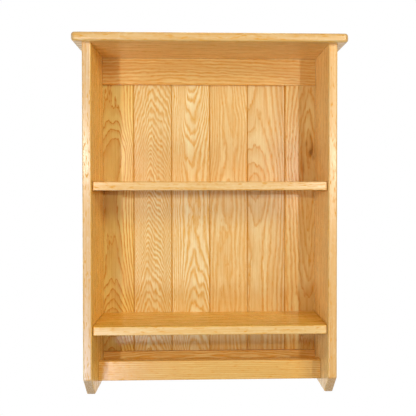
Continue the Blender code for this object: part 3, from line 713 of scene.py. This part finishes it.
def make_back_board(name, oak, seed, tree, sockets):
    """A tongued and vee-jointed back board: the outline of its lower end, run up its length."""
    downward = -0.99
    solid = whole_faces(name)
    low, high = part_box(name)
    solid.faces.ensure_lookup_table()
    foot = max((f for f in solid.faces if f.normal.z < downward), key=lambda f: f.calc_area())
    corners = []
    for start, end in ((loop.vert.co, loop.link_loop_next.vert.co) for loop in foot.loops):
        strips = max(1, round((end - start).length / STRIP))
        corners += [(*start.lerp(end, i / strips).xy, 0.0) for i in range(strips)]
    corners.reverse()
    solid.free()
    mesh = bpy.data.meshes.new("oak_" + name)
    mesh.from_pydata(corners, [(i, (i + 1) % len(corners)) for i in range(len(corners))], [])
    piece = new_object("oak_" + name, mesh)
    moulded = piece.modifiers.new("moulded", "NODES")
    moulded.node_group = tree
    moulded[sockets["Length"]] = high.z - low.z
    moulded[sockets["Run"]] = RUN
    moulded[sockets["Finish"]] = oak
    settle(piece)
    piece.data.transform(Matrix.Translation((0, 0, low.z)))
    close_up(piece, GAP)
    finish_oak(piece, name, oak, seed)


# Pins and screws

def pin_tree():
    """Nodes that set a flat pin head on each place, facing the wall."""
    tree, sockets, given = new_tree(
        "panel_pins", "Pins", Places="Geometry", Width="Float", Height="Float", Finish="Material",
    )
    # Radii of the foot and the flat of a head, as shares of its width, and how far its flat is upset
    foot_share, flat_share, upset = 0.5, 0.34, 1.18
    foot = add(tree, "ShaderNodeMath", {0: given["Width"], 1: foot_share}, operation="MULTIPLY")
    flat = add(tree, "ShaderNodeMath", {0: given["Width"], 1: flat_share}, operation="MULTIPLY")
    sizes = {"Radius Bottom": foot, "Radius Top": flat, "Depth": given["Height"]}
    steps = {"Vertices": 18, "Side Segments": 3, "Fill Segments": 2}
    head = add(tree, "GeometryNodeMeshCone", {**sizes, **steps}).outputs["Mesh"]
    # The rim of the head is upset into a curve
    place = add(tree, "GeometryNodeInputPosition")
    height = add(tree, "ShaderNodeSeparateXYZ", {0: place}).outputs["Z"]
    share = add(tree, "ShaderNodeMath", {0: height, 1: given["Height"]}, operation="DIVIDE")
    bulge = {"Value": share, "To Min": 1.0, "To Max": upset}
    bulge = add(tree, "ShaderNodeMapRange", bulge, interpolation_type="SMOOTHERSTEP")
    swollen = add(tree, "ShaderNodeVectorMath", {0: place, "Scale": bulge}, operation="SCALE")
    swollen = add(tree, "ShaderNodeSeparateXYZ", {0: swollen}).outputs
    rim = add(tree, "ShaderNodeCombineXYZ", {"X": swollen["X"], "Y": swollen["Y"], "Z": height})
    head = add(tree, "GeometryNodeSetPosition", {"Geometry": head, "Position": rim})
    pins = {"Points": given["Places"], "Instance": head, "Rotation": FACE_WALL}
    pins = add(tree, "GeometryNodeInstanceOnPoints", pins)
    end_tree(tree, "Pins", pins, given["Finish"])
    return tree, sockets


def screw_tree():
    """Nodes that turn a countersunk screw with a cross recess, and set one in each place, facing the wall."""
    tree, sockets, given = new_tree(
        "countersunk_screws", "Screws", Places="Geometry", Head="Float", Length="Float", Recess="Float",
        Seed="Int", Finish="Material",
    )
    # Turned from the tip up: steps along it and round it, where the point and the shank end as shares of the
    # length, and their radii as shares of the head's
    steps, sides = 26, 28
    point_end, shank_end = 6 / steps, 23 / steps
    tip_share, shank_share = 0.03, 0.48
    # Length and depth of a slot of the recess, as shares of the head's width
    slot_share, sink_share = 0.58, 0.34
    most_turn = 1.57
    depth = add(tree, "ShaderNodeMath", {0: given["Length"], 1: -1.0}, operation="MULTIPLY")
    tip = add(tree, "ShaderNodeCombineXYZ", {"Z": depth})
    axis = add(tree, "GeometryNodeCurvePrimitiveLine", {"Start": tip, "End": (0, 0, 0)})
    axis = add(tree, "GeometryNodeResampleCurve", {"Curve": axis, "Count": steps + 1})
    share = add(tree, "GeometryNodeSplineParameter").outputs["Factor"]
    outline = add(tree, "ShaderNodeFloatCurve", {"Value": share})
    points = outline.mapping.curves[0].points
    points[0].location = (0.0, tip_share)
    points[1].location = (1.0, 1.0)
    for end in (point_end, shank_end):
        points.new(end, shank_share)
    for point in points:
        point.handle_type = "VECTOR"
    outline.mapping.update()
    half = add(tree, "ShaderNodeMath", {0: given["Head"], 1: 0.5}, operation="MULTIPLY")
    radius = add(tree, "ShaderNodeMath", {0: outline, 1: half}, operation="MULTIPLY")
    ring = add(tree, "GeometryNodeCurvePrimitiveCircle", {"Resolution": sides, "Radius": 1.0})
    sweep = {"Curve": axis, "Profile Curve": ring, "Scale": radius, "Fill Caps": True}
    screw = add(tree, "GeometryNodeCurveToMesh", sweep)
    screw = add(tree, "GeometryNodeFlipFaces", {"Mesh": screw})
    # The cross recess is two slots, sunk square to each other
    reach = add(tree, "ShaderNodeMath", {0: given["Head"], 1: slot_share}, operation="MULTIPLY")
    sink = add(tree, "ShaderNodeMath", {0: given["Head"], 1: sink_share}, operation="MULTIPLY")
    cross = add(tree, "GeometryNodeJoinGeometry")
    for x, y in ((reach, given["Recess"]), (given["Recess"], reach)):
        size = add(tree, "ShaderNodeCombineXYZ", {"X": x, "Y": y, "Z": sink})
        slot = add(tree, "GeometryNodeMeshCube", {"Size": size}).outputs["Mesh"]
        tree.links.new(slot, cross.inputs["Geometry"])
    cut = {"Mesh 1": screw, "Mesh 2": cross, "Self Intersection": True}
    screw = add(tree, "GeometryNodeMeshBoolean", cut, operation="DIFFERENCE", solver="EXACT").outputs["Mesh"]
    screws = {"Points": given["Places"], "Instance": screw, "Rotation": FACE_WALL}
    screws = add(tree, "GeometryNodeInstanceOnPoints", screws)
    # Each was left at a turn of its own
    turn = {"Min": 0.0, "Max": most_turn, "Seed": given["Seed"]}
    turn = add(tree, "FunctionNodeRandomValue", turn, data_type="FLOAT")
    spin = add(tree, "ShaderNodeCombineXYZ", {"Z": turn})
    screws = add(tree, "GeometryNodeRotateInstances", {"Instances": screws, "Rotation": spin})
    end_tree(tree, "Screws", screws, given["Finish"])
    return tree, sockets


def set_fixings(name, places, tree, sockets, **sizes):
    """One piece with a fixing at each place, as plain mesh, in zinc plated steel."""
    mesh = bpy.data.meshes.new(name)
    mesh.from_pydata([tuple(place) for place in places], [], [])
    piece = new_object(name, mesh)
    nodes = piece.modifiers.new("fixings", "NODES")
    nodes.node_group = tree
    for label, value in sizes.items():
        nodes[sockets[label]] = value
    settle(piece)
    close_up(piece, FINE_GAP)
    # The nodes leave an empty slot before the finish
    dress(piece, sizes["Finish"])
    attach(piece, "root")
    return piece


def make_fixings(zinc):
    """Pins through the back boards into the rails and the shelves, two to a board, and the hangers' screws."""
    rail_low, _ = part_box("top_rail")
    _, rail_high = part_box("bottom_back_rail")
    shelves = [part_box(name) for name in ("upper_shelf", "lower_shelf")]
    shelf_middles = [(low.z + high.z) / 2 for low, high in shelves]
    heights = [rail_low.z + PIN_LAP, *shelf_middles, rail_high.z - PIN_LAP]
    pin_places = []
    for board_name in [name for name in FIGURES if name.startswith("back_board")]:
        low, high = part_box(board_name)
        for height in heights:
            pin_places += [(low.x + PIN_INSET, high.y, height), (high.x - PIN_INSET, high.y, height)]
    tree, sockets = pin_tree()
    set_fixings("panel_pins", pin_places, tree, sockets, Width=PIN_WIDTH, Height=PIN_HEIGHT, Finish=zinc)
    screw_nodes = [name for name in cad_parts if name.startswith("hanger_screw")]
    boxes = [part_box(name) for name in screw_nodes]
    head_places = [((low.x + high.x) / 2, high.y, (low.z + high.z) / 2) for low, high in boxes]
    low, high = boxes[0]
    tree, sockets = screw_tree()
    screws = set_fixings(
        "hanger_screws", head_places, tree, sockets,
        Head=high.x - low.x, Length=high.y - low.y, Recess=RECESS_WIDTH, Seed=TURN_SEED, Finish=zinc,
    )
    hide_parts(*screw_nodes)


# Studio

def make_surroundings():
    """White surroundings for the eye and for reflections, which hardly light the shelf, and a floor below it."""
    white = (1, 1, 1, 1)
    light_level, eye_level = 0.02, 1.0
    world = bpy.data.worlds.new("white_studio")
    bpy.context.scene.world = world
    world.use_nodes = True
    tree = world.node_tree
    tree.nodes.clear()
    level = {"Value": white_to_eye(tree), "To Min": light_level, "To Max": eye_level}
    level = add(tree, "ShaderNodeMapRange", level)
    light = add(tree, "ShaderNodeBackground", {"Color": white, "Strength": level})
    add(tree, "ShaderNodeOutputWorld", {"Surface": light})

    # Matt paint, rolled on: even and nearly white to the eye, and it keeps the shelf's shadow
    material, tree = new_material("floor_matt_white")
    floor_glow = 0.92
    paint = add(tree, "ShaderNodeBsdfDiffuse", {"Color": linear("#9C9C9A")})
    glow = add(tree, "ShaderNodeMath", {0: white_to_eye(tree), 1: floor_glow}, operation="MULTIPLY")
    glow = add(tree, "ShaderNodeEmission", {"Color": white, "Strength": glow})
    both = add(tree, "ShaderNodeAddShader", {0: paint, 1: glow})
    add(tree, "ShaderNodeOutputMaterial", {"Surface": both})
    half_width, front, back, level = 5, -7, 1.5, -1.45
    corners = [(-half_width, front), (half_width, front), (half_width, back), (-half_width, back)]
    mesh = bpy.data.meshes.new("floor")
    mesh.from_pydata([(x, y, level) for x, y in corners], [], [(0, 1, 2, 3)])
    mesh.materials.append(material)
    new_object("floor", mesh)


def make_lamps():
    """Round lamps and softboxes, all turned to the middle of the shelf."""
    aim = Vector((0, -0.1, -0.35))
    full_beam = 180
    # Place, width in metres, watts, colour and beam in degrees. The last four light only the back, the top and
    # the outer sides. Their narrow beams keep off the floor in front, and the lacquer does not mirror them
    for name, place, size, watts, colour, beam in (
        ("lamp_left", (-0.550, -1.300, -0.150), 0.06, 4.3, "#FFFAEE", full_beam),
        ("lamp_right", (0.813, -2.475, -0.128), 0.06, 12.2, "#FFFAEE", full_beam),
        ("lamp_low_left", (-0.600, -1.450, -1.120), 0.40, 7.2, "#CFE0FF", full_beam),
        ("softbox_right", (1.100, -1.900, 0.550), 0.60, 16.8, "#FFF7DC", full_beam),
        ("softbox_left", (-2.200, -1.000, 0.200), 1.40, 3.8, "#FFFAEE", full_beam),
        ("softbox_behind", (0.300, 2.000, -0.900), 0.80, 2.6, "#FFFFFF", 60),
        ("softbox_above", (0.000, 0.150, 1.000), 0.40, 0.9, "#FFFFFF", 50),
        ("softbox_far_left", (-1.700, 0.450, -1.100), 0.90, 1.3, "#FFFFFF", 50),
        ("softbox_far_right", (1.700, 0.450, -1.100), 0.90, 0.7, "#FFFFFF", 50),
    ):
        lamp = bpy.data.lights.new(name, "AREA")
        lamp.shape = "DISK"
        lamp.size = size
        lamp.energy = watts
        lamp.color = linear(colour)[:3]
        lamp.spread = math.radians(beam)
        stand = new_object(name, lamp)
        stand.location = place
        stand.rotation_euler = (aim - Vector(place)).to_track_quat("-Z", "Y").to_euler()
        stand.visible_camera = False
        stand.visible_glossy = beam == full_beam


def make_camera():
    """The photograph's view: a little left of the middle, at the height of the upper shelf."""
    # The square frame, the focal length and the point that the lens looks straight at, in pixels
    frame_px = 416
    focal_px = 606.45
    straight_px = (221.79, 198.74)
    # Degrees that the camera is tipped down, rolled and turned to the right
    tip, roll, turn = 0.877, 0.046, 1.886
    lens = bpy.data.cameras.new("photo_camera")
    lens.sensor_width = 36.0
    lens.lens = focal_px / frame_px * lens.sensor_width
    lens.shift_x = (frame_px / 2 - straight_px[0]) / frame_px
    lens.shift_y = (straight_px[1] - frame_px / 2) / frame_px
    camera = new_object("photo_camera", lens)
    camera.location = (-0.01889, -1.47222, -0.28530)
    camera.rotation_euler = (math.radians(90 - tip), math.radians(roll), math.radians(-turn))
    bpy.context.scene.camera = camera


bpy.context.scene.view_settings.view_transform = "Standard"
oak = make_oak()
beech = make_beech()
zinc = make_zinc()
moulding, moulding_sockets = moulding_tree()
for seed, board_name in enumerate(FIGURES):
    if board_name.startswith("back_board"):
        make_back_board(board_name, oak, seed, moulding, moulding_sockets)
    else:
        make_oak_piece(board_name, oak, seed)
for node_name, solid_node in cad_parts.items():
    if "dowel" in node_name:
        dress(solid_node, beech)
    elif "hanger" in node_name:
        dress(solid_node, zinc)
make_fixings(zinc)
make_surroundings()
make_lamps()
make_camera()
